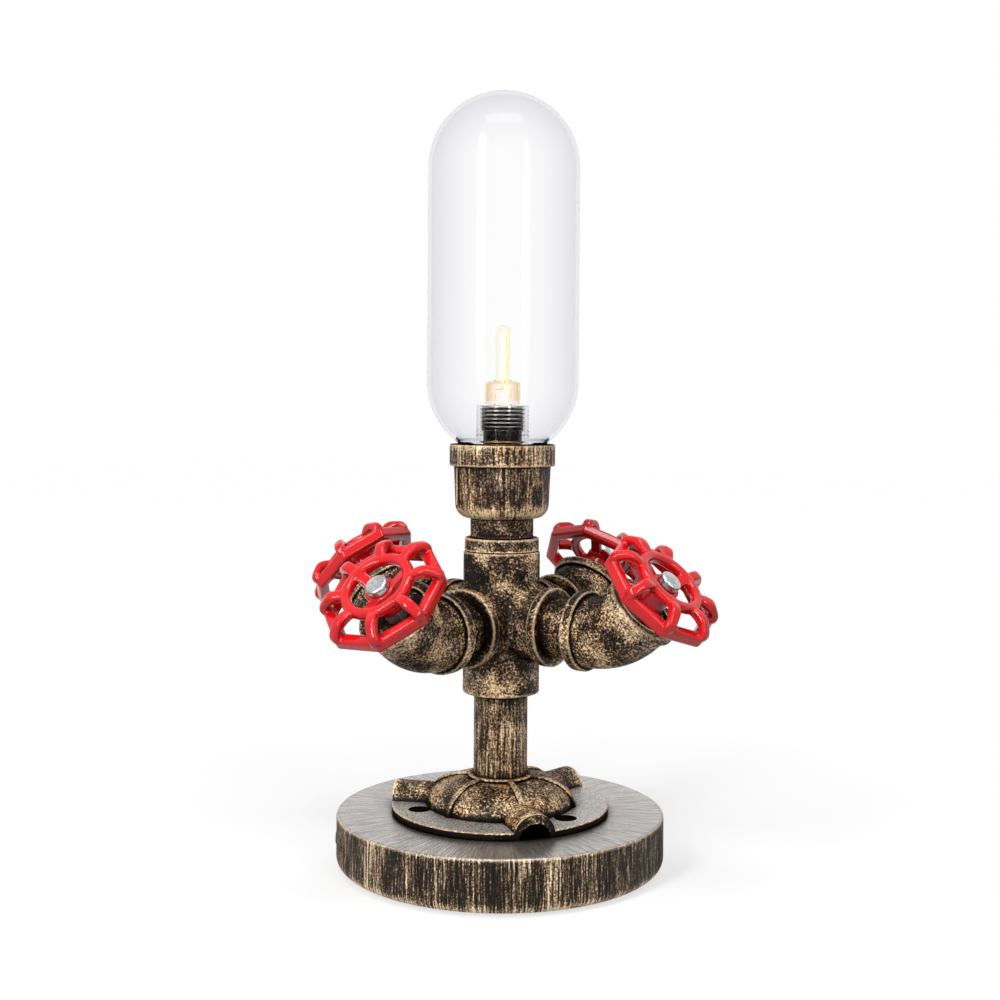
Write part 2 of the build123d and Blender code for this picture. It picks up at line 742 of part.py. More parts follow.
# ---- glass ------------------------------------------------------------------------------------
def make_glass():
    """A capsule of clear glass, flat at the foot, with a ribbed neck turned up inside it."""
    top_centre = glass_top - glass_radius
    low_centre = glass_bottom + math.sqrt(glass_radius ** 2 - glass_foot_radius ** 2)
    foot_angle = math.degrees(math.asin((glass_bottom - low_centre) / glass_radius))
    inner = glass_radius - glass_wall
    inner_floor = glass_bottom + glass_wall
    inner_foot = math.sqrt(inner ** 2 - (inner_floor - low_centre) ** 2)
    inner_angle = math.degrees(math.asin((inner_floor - low_centre) / inner))
    bore = sleeve_thread_radius + clear
    neck_top = glass_bottom + glass_neck_height
    ribs = threaded_outline(glass_neck_radius, glass_thread_depth, inner_floor + 1, neck_top, sleeve_pitch)
    outline = [
        Line((bore, glass_bottom), (glass_foot_radius, glass_bottom)),
        CenterArc((0, low_centre), glass_radius, foot_angle, -foot_angle),
        Line((glass_radius, low_centre), (glass_radius, top_centre)),
        CenterArc((0, top_centre), glass_radius, 0, 90),
        Line((0, glass_top), (0, glass_top - glass_wall)),
        CenterArc((0, top_centre), inner, 0, 90),
        Line((inner, top_centre), (inner, low_centre)),
        CenterArc((0, low_centre), inner, inner_angle, -inner_angle),
        Polyline((inner_foot, inner_floor), (ribs[0][0], inner_floor), *ribs, (bore, neck_top),
                 (bore, glass_bottom)),
    ]
    return whole(turned_face(outline))


# ---- wiring -----------------------------------------------------------------------------------
def block_place():
    """Middle of the terminal block's underside; local X points away from the lamp's axis."""
    return Rot(0, 0, gland_angle) * Pos(block_radius, 0, web_bottom - block_height)


def screw_places():
    step_x, step_y = block_length / 4, block_width / 4
    return [(x * step_x, y * step_y) for x in (-1, 1) for y in (-1, 1)]


def make_terminal_block():
    body = Box(block_length, block_width, block_height, align=(Align.CENTER, Align.CENTER, Align.MIN))
    body = fillet(body.edges().filter_by(Axis.Z), block_round)
    for x, y in screw_places():
        body -= Pos(x, y, 0) * rod(block_screw_diameter / 2, -1, block_screw_depth)
    for side in (-1, 1):
        hole = Pos(block_length / 2, side * block_width / 4, block_wire_height) * Rot(0, -90, 0)
        body -= hole * rod(lead_diameter / 2, -1, block_length / 4)
    return block_place() * whole(body)


def make_terminal_screws():
    return [block_place() * Pos(x, y, 0) * rod(
        block_screw_diameter / 2, block_screw_sink, block_screw_depth)
            for x, y in screw_places()]


def make_lead(side):
    """One insulated lead: from the block, down past the backnut, under the stem, and up to its tag."""
    high = web_bottom - block_height + block_wire_height
    low = pad_thickness + lead_floor_gap + lead_diameter / 2
    across = side * block_width / 4
    block_face = block_radius - block_length / 2
    nut_corner = backnut_flats / math.sqrt(3)
    top = Vector(side * lead_spacing / 2, 0, lead_top)
    points = [Vector(block_face, across, high), Vector(block_face - 2 * lead_diameter, across, high),
              Vector(nut_corner + lead_diameter, across, low)]
    points = [point.rotate(Axis.Z, gland_angle) for point in points]
    points += [Vector(top.X, top.Y, low), top]
    path = FilletPolyline(*points, radius=[lead_dip_radius, lead_dip_radius, lead_turn_radius])
    return whole(sweep(Plane(origin=path @ 0, z_dir=path % 0) * Circle(lead_diameter / 2), path))


# ---- build and save ---------------------------------------------------------------------------
save("base_disc", make_base())
save("base_pad", make_pad())
save("cord_gland", make_gland())
save("floor_flange", make_flange())
save("stem_pipe", make_stem())
save("base_washer", make_base_washer())
save("base_backnut", make_base_backnut())
save("hub_cross", make_hub())

nipple, elbow, plug, wheel = make_nipple(), make_elbow(), make_plug(), make_wheel()
bolts, locknuts = [], []
for arm in range(arm_count):
    outlet = elbow_place(arm) * outlet_axis()
    save(f"arm_nipple_{arm + 1}", Rot(0, 0, 360.0 * arm / arm_count) * nipple)
    save(f"elbow_{arm + 1}", elbow_place(arm) * elbow)
    save(f"outlet_plug_{arm + 1}", outlet * plug)
    save(f"handwheel_{arm + 1}", outlet * Pos(0, 0, wheel_level) * Rot(0, 0, wheel_turn[arm]) * wheel)
    bolts.append(outlet * make_bolt())
    locknuts.append(outlet * make_locknut())
save("wheel_bolts", *bolts)
save("wheel_locknuts", *locknuts)

save("reducing_bush", make_bush())
save("neck_nipple", make_neck())
save("lamp_cup", make_cup())
save("cup_cover", make_cover())
save("spacer_ring", make_spacer())
save("holder_rod", make_rod())
save("holder_nut", make_rod_nut())
save("holder_sleeve", make_sleeve())
save("holder_core", make_core())
save("holder_contacts", *make_contacts())
save("bulb_glass", make_bulb_glass())
save("bulb_pins", *make_bulb_pins())
save("bulb_filament", make_bulb_filament())
save("bulb_electrodes", *make_bulb_electrodes())
save("glass_shade", make_glass())
save("terminal_block", make_terminal_block())
save("terminal_screws", *make_terminal_screws())
save("lead_live", make_lead(1))
save("lead_neutral", make_lead(-1))
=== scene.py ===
import json
import math

import bpy
from mathutils import Matrix, Vector


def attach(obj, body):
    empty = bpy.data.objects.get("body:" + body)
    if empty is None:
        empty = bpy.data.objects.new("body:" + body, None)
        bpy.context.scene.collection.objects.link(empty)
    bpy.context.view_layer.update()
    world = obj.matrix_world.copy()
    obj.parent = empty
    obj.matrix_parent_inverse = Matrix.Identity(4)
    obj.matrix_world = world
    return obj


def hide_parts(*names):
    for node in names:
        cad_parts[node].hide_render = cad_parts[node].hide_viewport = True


# Looks of a table lamp made of pipe fittings. Metres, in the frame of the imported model: Z is up, the
# origin is the centre of the underside, and +X is the first arm.

MM = 0.001

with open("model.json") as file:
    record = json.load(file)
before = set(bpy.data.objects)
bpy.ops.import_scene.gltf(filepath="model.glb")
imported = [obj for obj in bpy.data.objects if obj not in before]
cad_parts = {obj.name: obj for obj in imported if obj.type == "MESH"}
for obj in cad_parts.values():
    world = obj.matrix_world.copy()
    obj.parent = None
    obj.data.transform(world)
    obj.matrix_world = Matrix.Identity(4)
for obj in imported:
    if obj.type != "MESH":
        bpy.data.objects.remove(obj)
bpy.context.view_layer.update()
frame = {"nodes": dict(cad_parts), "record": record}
NODES = frame["nodes"]
SLOT_OF = {part["node"]: part["material_slot"] for part in frame["record"]["subparts"]}
BODY_OF = {node: body
           for body, nodes in frame["record"]["behaviour"]["bodies"].items()
           for node in nodes}

# ---- camera, as fitted to the photograph --------------------------------------------------------
IMAGE_SIDE = 1000               # pixels
VIEW_AZIMUTH = 35.5             # degrees
CAMERA_DISTANCE = 0.6734
CAMERA_HEIGHT = 0.21156
CAMERA_ASIDE = 0.0005
CAMERA_ROLL = 0.379             # degrees
FOCAL_PIXELS = 1459.0
PRINCIPAL_X = 503.8             # pixels from the left
PRINCIPAL_Y = 403.8             # pixels from the top
SENSOR = 36.0                   # millimetres

# ---- colours, linear ----------------------------------------------------------------------------
BLACK_PAINT = (0.0045, 0.0034, 0.0028, 1)
# A pale grey laid over the satin tops of the base and the flange's plate: a painted sheen.
PAINTED_SHEEN_GREY = (0.60, 0.575, 0.545, 1)
ENAMEL_RED = (0.60, 0.005, 0.008, 1)
# The red in hollows: partly pooled enamel, partly painted shade.
ENAMEL_POOLED_AND_SHADED = (0.34, 0.002, 0.004, 1)
DARK_NICKEL = (0.009, 0.008, 0.0075, 1)
# Pale rings on the thread's crests: painted highlights.
NICKEL_HIGHLIGHT = (0.66, 0.61, 0.55, 1)
DULL_STEEL = (0.34, 0.34, 0.34, 1)
WHITE = (1, 1, 1, 1)
AMBER = (1.0, 0.46, 0.07, 1)
DEEP_AMBER = (0.85, 0.36, 0.06, 1)
HOT_SPOT = (1.0, 0.8, 0.4, 1)
HOT_GLOW = (1.0, 0.72, 0.26, 1)

# Filters over the bronze.
COPPERY = (1.06, 0.80, 0.55, 1)
SANDY = (0.95, 1.0, 1.12, 1)

# From black paint to the brightest rubbed bronze: how much bronze lies there, and its colour.
BRONZE_TONES = ((0.26, BLACK_PAINT),
                (0.38, (0.019, 0.011, 0.0065, 1)),
                (0.47, (0.046, 0.028, 0.0165, 1)),
                (0.56, (0.115, 0.069, 0.036, 1)),
                (0.65, (0.24, 0.148, 0.074, 1)),
                (0.75, (0.46, 0.310, 0.165, 1)),
                (0.90, (0.92, 0.71, 0.45, 1)))

# ---- node helpers -------------------------------------------------------------------------------
AO_SAMPLES = 8
EVEN_BLEND = 0.5                # a Layer Weight node's Blend that leaves its curve as it is
COLOUR_A, COLOUR_B, MIXED = 6, 7, 2     # a Mix node's colour sockets, whose names repeat
GLOSS_FADE = (0.30, 0.80, 1.0, 0.03)    # by how far a face turns away


class Graph:
    """A node tree, filled in by short calls. A value is a number, a colour or a socket. A range is
    (from, to) or (from, to, value at from, value at to)."""

    def __init__(self, tree):
        self.tree = tree

    def add(self, kind, **settings):
        node = self.tree.nodes.new(kind)
        for key, value in settings.items():
            setattr(node, key, value)
        return node

    def put(self, socket, value):
        if isinstance(value, bpy.types.NodeSocket):
            self.tree.links.new(value, socket)
        else:
            socket.default_value = value

    def fill(self, node, **values):
        """Fills a node's inputs by their names, with _ for each space."""
        for key, value in values.items():
            self.put(node.inputs[key.replace("_", " ")], value)
        return node

    def math(self, operation, *values):
        node = self.add("ShaderNodeMath", operation=operation)
        for socket, value in zip(node.inputs, values):
            self.put(socket, value)
        return node.outputs[0]

    def plus(self, first, second):
        return self.math("ADD", first, second)

    def minus(self, first, second):
        return self.math("SUBTRACT", first, second)

    def times(self, first, second):
        return self.math("MULTIPLY", first, second)

    def most(self, first, second):
        return self.math("MAXIMUM", first, second)

    def step(self, value, low, high, bottom=0.0, top=1.0):
        """A smooth change from bottom to top as value goes from low to high."""
        node = self.add("ShaderNodeMapRange", interpolation_type="SMOOTHSTEP")
        for socket, given in zip(node.inputs, (value, low, high, bottom, top)):
            self.put(socket, given)
        return node.outputs[0]

    def sees_backdrop(self):
        """1 for the rays that see the backdrop itself: straight, mirrored or through glass."""
        rays = self.add("ShaderNodeLightPath").outputs
        unbent = self.most(rays["Is Camera Ray"], rays["Is Glossy Ray"])
        return self.most(unbent, rays["Is Transmission Ray"])


class Paint(Graph):
    """A new material: its Principled shader, and textures in the coordinates of the piece."""

    def __init__(self, name):
        self.material = bpy.data.materials.new(name)
        self.material.use_nodes = True
        super().__init__(self.material.node_tree)
        self.shader = self.tree.nodes["Principled BSDF"]
        self.output = self.tree.nodes["Material Output"]
        self.place = self.add("ShaderNodeTexCoord").outputs["Object"]

    def finish(self, **values):
        """Fills the shader's inputs, and gives the material."""
        self.fill(self.shader, **values)
        return self.material

    def noise(self, scale, detail, roughness, vector=None, distortion=0.0):
        """Noise of scale cells per metre, or per unit of another vector."""
        node = self.add("ShaderNodeTexNoise")
        self.fill(node, Vector=vector or self.place, Scale=scale, Detail=detail, Roughness=roughness,
                  Distortion=distortion)
        return node.outputs["Fac"]

    def blend(self, share, first, second, kind="MIX"):
        node = self.add("ShaderNodeMix", data_type="RGBA", blend_type=kind)
        self.put(node.inputs["Factor"], share)
        self.put(node.inputs[COLOUR_A], first)
        self.put(node.inputs[COLOUR_B], second)
        return node.outputs[MIXED]

    def tint(self, share, colour, filter_colour):
        return self.blend(share, colour, filter_colour, kind="MULTIPLY")

    def bronze_tones(self, field):
        node = self.add("ShaderNodeValToRGB")
        self.put(node.inputs[0], field)
        stops = node.color_ramp.elements
        while len(stops) < len(BRONZE_TONES):
            stops.new(0.5)
        for stop, (place, colour) in zip(stops, BRONZE_TONES):
            stop.position = place
            stop.color = colour
        return node.outputs[0]

    def bump(self, height, depth):
        return self.fill(self.add("ShaderNodeBump"), Height=height, Distance=depth).outputs["Normal"]

    def openness(self, distance, **settings):
        node = self.add("ShaderNodeAmbientOcclusion", samples=AO_SAMPLES, **settings)
        return self.fill(node, Distance=distance).outputs["AO"]

    def outer_edges(self, reach, low=0.05, high=0.20):
        """1 on outer edges: rays sent into the piece soon meet another side of it."""
        return self.step(self.minus(1.0, self.openness(reach, inside=True, only_local=True)), low, high)

    def open_air(self, distance, low=0.35, high=0.85):
        """0 in corners and hollows, 1 where nothing stands near."""
        return self.step(self.openness(distance), low, high)

    def facing(self):
        """0 where a face looks at the viewer, 1 where it is seen edge on."""
        return self.fill(self.add("ShaderNodeLayerWeight"), Blend=EVEN_BLEND).outputs["Facing"]

    def gloss(self, level):
        """A gloss level that fades where a face turns away, so that a dark piece keeps dark sides."""
        return self.times(level, self.step(self.facing(), *GLOSS_FADE))

    def parts(self, vector):
        return self.fill(self.add("ShaderNodeSeparateXYZ"), Vector=vector).outputs

    def height(self):
        return self.parts(self.place)[2]

    def facing_up(self, low=0.5, high=0.9):
        return self.step(self.parts(self.add("ShaderNodeNewGeometry").outputs["Normal"])[2], low, high)

    def sum(self, *pairs):
        """Each value times its share, less half the share, added to a half, so that 0.5 is the middle."""
        total = 0.5
        for value, share in pairs:
            total = self.plus(self.times(self.minus(value, 0.5), share), total)
        return total

    def strokes(self, across, along):
        """Coordinates for brush strokes that run up a side and outwards on a top, round the lamp's
        axis: cells per radian, and cells per metre along a stroke."""
        x, y, z = self.parts(self.place)
        radius = self.math("SQRT", self.plus(self.times(x, x), self.times(y, y)))
        safe = self.most(radius, MM)
        length = self.times(self.plus(z, radius), along)
        cosine = self.times(self.math("DIVIDE", x, safe), across)
        sine = self.times(self.math("DIVIDE", y, safe), across)
        return self.fill(self.add("ShaderNodeCombineXYZ"), X=cosine, Y=sine, Z=length).outputs[0]


# ---- bronze brushed over black paint ------------------------------------------------------------
# The field says how much bronze lies at a spot, as BRONZE_TONES reads it. Sizes of noise are cells
# per metre, and shares are what each noise adds to the field.
SPECKLE, WISP, CLOUD, WARM_CLOUD = 1150.0, 400.0, 90.0, 60.0
CAST_SPECKLE, CAST_WISP = 2.2, 0.55
BRUSHED_SPECKLE, BRUSHED_STREAK = 1.5, 2.0
COLLAR_SHARE = 0.15
THIN_LOSS = 0.34                            # where little was rubbed on
HOLLOW_LOSS_AND_SHADE = (1.0, 0.0, 0.0, 0.46)         # by how open the air is: black hollows, partly bare paint and partly painted shade
WEARS_IN_AIR = (0.2, 0.9)
WORN_BRONZE = (0.34, 0.50, 0.66, 0.92)      # on a worn edge, by the grain
PAINT_TO_BRONZE = (0.45, 0.70)
WARM_SPOTS = (0.46, 0.60)
WARM_HOLLOWS = (0.8, 0.1)
BRONZE_METAL, FLANGE_SHEEN_METAL, SATIN_METAL = 0.22, 0.7, 0.85

AIR_REACH, AIR_RANGE = 8 * MM, (0.45, 0.95)
EDGE_REACH = 1.5 * MM
COLLAR_REACH, COLLAR_RANGE = 3.0 * MM, (0.10, 0.45)
CAST_DEPTH, WISP_DEPTH = 0.30 * MM, 0.6     # of the bump, and the wisps' share in it
PAINT_ROUGHNESS, BRONZE_ROUGHNESS = 0.22, 0.38
PAINT_GLOSS, BRONZE_GLOSS = 0.10, 0.42

# How far a face looks up: on tops, from wall to slope, on an edge, and on the flange's flat plate.
TOPS_UP, SLOPE_UP, EDGE_UP, PLATE_UP = (0.35, 0.95), (0.12, 0.45), (0.2, 0.6), (0.94, 0.99)
PLATE_HEIGHT = (29.5 * MM, 28.5 * MM)
SHEEN_BY_GRAIN = (0.40, 0.54, 0.45, 1.0)


def rubbed(t, field, cover, air, edge, thin, grain):
    """The field with less bronze in hollows, which leaves them black as partly bare paint and partly
    painted shade, less where it is thin, and most on worn edges.
    """
    field = t.minus(t.plus(field, cover), t.step(air, *HOLLOW_LOSS_AND_SHADE))
    field = t.minus(field, t.times(t.minus(1.0, thin), THIN_LOSS))
    worn = t.times(edge, t.step(air, *WEARS_IN_AIR))
    return t.most(field, t.times(worn, t.step(grain, *WORN_BRONZE)))


def rubbed_bronze(name, cover, strokes=None, drift=0.8, warmth=0.3, bands=(), tops=0.0, dark_walls=False):
    """Fine speckle in patches, with bright worn edges. drift is the patches' share, and warmth how
    coppery some of them are. cover and tops thicken the bronze everywhere and on faces that look up,
    and each band thickens it by its third value from its first height to its second. strokes gives
    brush marks as Paint.strokes reads them. dark_walls is for the floor flange, whose flat plate
    gets a pale grey as a painted sheen and whose upright faces are nearly black."""
    t = Paint(name)
    fine = t.noise(SPECKLE, detail=3.0, roughness=0.6, distortion=0.6)
    wisp = t.noise(WISP, detail=2.0, roughness=0.55, distortion=1.4)
    cloud = t.noise(CLOUD, detail=2.0, roughness=0.5)
    if strokes:
        streak = t.noise(1.0, detail=4.0, roughness=0.75, vector=t.strokes(*strokes))
        field = t.sum((fine, BRUSHED_SPECKLE), (streak, BRUSHED_STREAK), (cloud, drift))
    else:
        field = t.sum((fine, CAST_SPECKLE), (wisp, CAST_WISP), (cloud, drift))
    for start, end, gain in bands:
        field = t.plus(field, t.step(t.height(), start, end, 0.0, gain))
    field = t.plus(field, t.times(t.facing_up(*TOPS_UP), tops))
    air = t.open_air(AIR_REACH, *AIR_RANGE)
    edge = t.outer_edges(EDGE_REACH)
    collar = t.outer_edges(COLLAR_REACH, *COLLAR_RANGE)
    thin, plate_sheen = 1.0, 0.0
    if dark_walls:
        thin = t.facing_up(*SLOPE_UP)
        edge = t.times(edge, t.facing_up(*EDGE_UP))
        collar = t.times(collar, thin)
        # The flat plate gets a pale grey, a painted sheen, which fades near what stands by as painted
        # shade.
        plate = t.times(t.facing_up(*PLATE_UP), t.step(t.height(), *PLATE_HEIGHT))
        plate_sheen = t.times(plate, air)
    field = t.plus(field, t.times(collar, COLLAR_SHARE))
    field = rubbed(t, field, cover, air, edge, thin, fine)
    bronze = t.step(field, *PAINT_TO_BRONZE)
    warm_patch = t.step(t.noise(WARM_CLOUD, detail=2.0, roughness=0.5), *WARM_SPOTS, 0.0, warmth)
    warm = t.most(warm_patch, t.step(air, *WARM_HOLLOWS))
    colour = t.tint(warm, t.bronze_tones(field), COPPERY)
    colour = t.blend(t.times(plate_sheen, t.step(fine, *SHEEN_BY_GRAIN)), colour, PAINTED_SHEEN_GREY)
    gloss = t.step(bronze, 0.0, 1.0, PAINT_GLOSS, BRONZE_GLOSS)
    return t.finish(
        Base_Color=colour,
        Metallic=t.most(t.times(bronze, BRONZE_METAL), t.times(plate_sheen, FLANGE_SHEEN_METAL)),
        Roughness=t.step(bronze, 0.0, 1.0, PAINT_ROUGHNESS, BRONZE_ROUGHNESS),
        Specular_IOR_Level=t.gloss(t.times(air, gloss)),
        Normal=t.bump(t.plus(fine, t.times(wisp, WISP_DEPTH)), CAST_DEPTH))


BASE_COVER = -0.07
BASE_GRAIN = 1300.0                         # cells per metre
BASE_STROKES, BASE_PATCHES = (130.0, 75.0), (9.0, 14.0)
STREAK_SHARE, GRAIN_SHARE, PATCH_SHARE = 2.2, 1.05, 1.0
FOOT_BAND = (7.0 * MM, 2.0 * MM, 0.0, 0.34)
RIM_BAND = (22.3 * MM, 24.3 * MM, 0.0, 0.12)
BASE_AIR_REACH, BASE_AIR_RANGE = 16 * MM, (0.45, 0.98)
BASE_EDGE_REACH = 1.6 * MM
TOP_THIN = 0.5
VEIL_STREAK, VEIL_GRAIN, VEIL = 1.4, 0.5, (0.30, 0.70, 0.45, 1.0)
SIDE_ROUGHNESS, TOP_ROUGHNESS = 0.38, 0.27
SIDE_GLOSS, TOP_GLOSS = 0.14, 0.5
BASE_DEPTH = 0.16 * MM


def brushed_base(name):
    """The round base: short upright strokes on its side, a bronze foot and rim, and a satin top that
    mirrors what stands around it, with a pale grey along its strokes as a painted sheen and darker
    near the flange as painted shade."""
    t = Paint(name)
    grain = t.noise(BASE_GRAIN, detail=2.0, roughness=0.6)
    streak = t.noise(1.0, detail=3.0, roughness=0.65, vector=t.strokes(*BASE_STROKES))
    patch = t.noise(1.0, detail=2.0, roughness=0.5, vector=t.strokes(*BASE_PATCHES))
    bands = t.plus(t.step(t.height(), *FOOT_BAND), t.step(t.height(), *RIM_BAND))
    top = t.facing_up()
    # Openness darkens as painted shade, here the flange's shadow on the top. The table under the foot
    # would darken the side too, so only the top has hollows.
    air = t.most(t.open_air(BASE_AIR_REACH, *BASE_AIR_RANGE), t.minus(1.0, top))
    edge = t.outer_edges(BASE_EDGE_REACH)
    field = t.plus(t.sum((streak, STREAK_SHARE), (grain, GRAIN_SHARE), (patch, PATCH_SHARE)), bands)
    field = rubbed(t, field, BASE_COVER, air, edge, t.step(top, 0.0, 1.0, 1.0, TOP_THIN), grain)
    bronze = t.step(field, *PAINT_TO_BRONZE)
    colour = t.tint(1.0, t.bronze_tones(field), SANDY)
    satin = t.times(top, t.minus(1.0, edge))
    # A pale grey along the top's strokes, a painted sheen, dimmed near the flange as painted shade.
    top_sheen = t.times(satin, t.step(t.sum((streak, VEIL_STREAK), (grain, VEIL_GRAIN)), *VEIL))
    return t.finish(
        Base_Color=t.blend(t.times(top_sheen, air), colour, PAINTED_SHEEN_GREY),
        Metallic=t.most(t.times(bronze, BRONZE_METAL), t.times(satin, SATIN_METAL)),
        Roughness=t.step(top, 0.0, 1.0, SIDE_ROUGHNESS, TOP_ROUGHNESS),
        Specular_IOR_Level=t.most(t.gloss(SIDE_GLOSS), t.times(top, TOP_GLOSS)),
        Normal=t.bump(streak, BASE_DEPTH))


# ---- enamel, nickel, plate, moulded matter, glass, hot wire -------------------------------------
MIDDLE_OF_NOISE = (0.3, 0.7)                # between its usual lowest and highest values

FLOW, FLOW_SHARE = 140.0, 0.8               # how the enamel ran, in cells per metre, and in the bump
PEEL, PEEL_SHARE = 900.0, 0.2
POOL_SHADE_REACH, POOL_SHADE_RANGE, POOL_SHADE_BY_FLOW = 5 * MM, (0.25, 0.9), (0.25, 0.7, 0.8, 1.0)
ENAMEL_ROUGHNESS, ENAMEL_GLOSS, ENAMEL_DEPTH = (0.06, 0.12), 0.34, 0.18 * MM


def red_enamel(name):
    """Thick gloss enamel on a casting: a deeper red in the hollows, partly pooled enamel and partly
    painted shade, and with the slow waves of a dip.
    """
    t = Paint(name)
    flow = t.noise(FLOW, detail=3.0, roughness=0.5)
    peel = t.noise(PEEL, detail=2.0, roughness=0.5)
    # The red is deeper in hollows, partly pooled enamel and partly painted shade.
    open_red = t.times(t.open_air(POOL_SHADE_REACH, *POOL_SHADE_RANGE), t.step(flow, *POOL_SHADE_BY_FLOW))
    return t.finish(
        Base_Color=t.blend(open_red, ENAMEL_POOLED_AND_SHADED, ENAMEL_RED),
        Roughness=t.step(flow, *MIDDLE_OF_NOISE, *ENAMEL_ROUGHNESS),
        Specular_IOR_Level=ENAMEL_GLOSS,
        Normal=t.bump(t.plus(t.times(flow, FLOW_SHARE), t.times(peel, PEEL_SHARE)), ENAMEL_DEPTH))


THREAD_STROKES = (9.0, 900.0)
GROOVE_REACH, GROOVE_RANGE = 0.9 * MM, (0.55, 0.95)
CREST_BY_STROKE = (0.3, 0.6, 0.6, 1.0)
SKIRT_TOP = (199.0 * MM, 199.3 * MM)        # below it the sleeve is plain and dark
FIRST_RING, RING_PHASE = 198.742 * MM, 3427.3   # radians per metre, a ring every 1.833 mm
RING_RANGE = (0.35, 0.95, 0.02, 1.0)
NICKEL_ROUGHNESS = (0.14, 0.24)


def ringed_nickel(name):
    """Dark nickel plate on a rolled thread, with painted shade in the grooves and pale rings on the
    crests as painted highlights.
    """
    t = Paint(name)
    stroke = t.noise(1.0, detail=2.0, roughness=0.6, vector=t.strokes(*THREAD_STROKES))
    crest = t.step(t.openness(GROOVE_REACH, only_local=True), *GROOVE_RANGE)
    turns = t.math("SINE", t.times(t.minus(t.height(), FIRST_RING), RING_PHASE))
    # The crests' pale rings are painted highlights, and the dark grooves painted shade.
    tone = t.times(t.times(crest, t.step(stroke, *CREST_BY_STROKE)), t.step(turns, *RING_RANGE))
    return t.finish(
        Base_Color=t.blend(t.times(tone, t.step(t.height(), *SKIRT_TOP)), DARK_NICKEL, NICKEL_HIGHLIGHT),
        Metallic=1.0,
        Roughness=t.step(stroke, *MIDDLE_OF_NOISE, *NICKEL_ROUGHNESS))


PLATE_GRAIN, PLATE_CLOUD = 900.0, 160.0     # cells per metre
PLATE_TONE, PLATE_AIR_REACH, PLATE_DEPTH = (0.75, 1.25), 3 * MM, 0.05 * MM
ROUGHER_PLATE = 0.14                        # from the smoothest to the roughest spot


def plated(name, bright, worn, roughness):
    """Plated or bare metal with fine handling marks, and darker in the hollows as painted shade."""
    t = Paint(name)
    fine = t.noise(PLATE_GRAIN, detail=4.0, roughness=0.65)
    cloud = t.noise(PLATE_CLOUD, detail=3.0, roughness=0.6)
    # The darker colour in hollows is painted shade.
    tone = t.times(t.step(t.plus(fine, cloud), *PLATE_TONE), t.open_air(PLATE_AIR_REACH))
    return t.finish(
        Base_Color=t.blend(tone, worn, bright),
        Metallic=1.0,
        Roughness=t.step(fine, *MIDDLE_OF_NOISE, roughness, roughness + ROUGHER_PLATE),
        Normal=t.bump(fine, PLATE_DEPTH))


CLOUD_TO_GRAIN = 0.12
DULL_TONE, ROUGHER_DULL = (0.35, 0.65), 0.12


def dull(name, colour, shade, roughness, grain, depth):
    """Moulded, fired or pressed matter that isn't metal, with grain in cells per metre."""
    t = Paint(name)
    fine = t.noise(grain, detail=4.0, roughness=0.65)
    cloud = t.noise(grain * CLOUD_TO_GRAIN, detail=3.0, roughness=0.6)
    tone = t.step(t.plus(t.times(fine, 0.5), t.times(cloud, 0.5)), *DULL_TONE)
    return t.finish(
        Base_Color=t.blend(tone, (*shade, 1), (*colour, 1)),
        Roughness=t.step(fine, *MIDDLE_OF_NOISE, roughness, roughness + ROUGHER_DULL),
        Normal=t.bump(fine, depth))


GLASS_ROUGHNESS = (0.0, 0.006)


def blown_glass(name, colour, rim_colour, wave, depth, ior, stain, stain_density, foot=None):
    """Clear blown glass. Its walls have slow waves, wave of them per metre and depth deep. rim_colour
    shows where a wall is seen edge on, and foot is (height, rim colour) for what lies below it."""
    t = Paint(name)
    slow = t.noise(wave, detail=1.5, roughness=0.4)
    edge_on = t.facing()
    if foot:
        level, foot_colour = foot
        rim_colour = t.blend(t.step(t.height(), level - MM, level + MM), foot_colour, rim_colour)
    inside = t.fill(t.add("ShaderNodeVolumeAbsorption"), Color=stain, Density=stain_density)
    t.put(t.output.inputs["Volume"], inside.outputs[0])
    return t.finish(
        Base_Color=t.blend(edge_on, colour, rim_colour),
        Roughness=t.step(slow, *MIDDLE_OF_NOISE, *GLASS_ROUGHNESS),
        IOR=ior,
        Transmission_Weight=1.0,
        Normal=t.bump(slow, depth))


HEAT = 700.0                                # cells per metre
HEAT_RANGE = (0.35, 0.65)
WIRE_ROUGHNESS = 0.4


def glowing(name, colour, strength, metallic=0.0):
    """Wire that glows, with hotter spots along it."""
    t = Paint(name)
    heat = t.noise(HEAT, detail=3.0, roughness=0.6)
    return t.finish(
        Base_Color=t.blend(heat, colour, HOT_SPOT),
        Metallic=metallic,
        Roughness=WIRE_ROUGHNESS,
        Emission_Color=t.blend(t.step(heat, *HEAT_RANGE), colour, HOT_GLOW),
        Emission_Strength=strength)


# ---- the materials ------------------------------------------------------------------------------
# Bands of thicker bronze: from a height, to a height, how much.
HUB_BANDS = ((97.0 * MM, 90.0 * MM, 0.17), (139.0 * MM, 141.0 * MM, 0.05))
CUP_BANDS = ((167.5 * MM, 161.5 * MM, 0.36), (183.0 * MM, 184.5 * MM, 0.13))
# Below this height the bulb's glass is edged in amber: a painted reflection of the filament's glow.
BULB_FOOT = 221.5 * MM

# Name: bright colour, darker colour for handling marks and the painted shade in hollows, roughness.
PLATED = {
    "bright_steel": ((0.62, 0.63, 0.64, 1), DULL_STEEL, 0.24),
    "zinc_steel": ((0.52, 0.53, 0.52, 1), DULL_STEEL, 0.34),
    "brass": ((0.60, 0.40, 0.16, 1), (0.30, 0.17, 0.06, 1), 0.28),
}
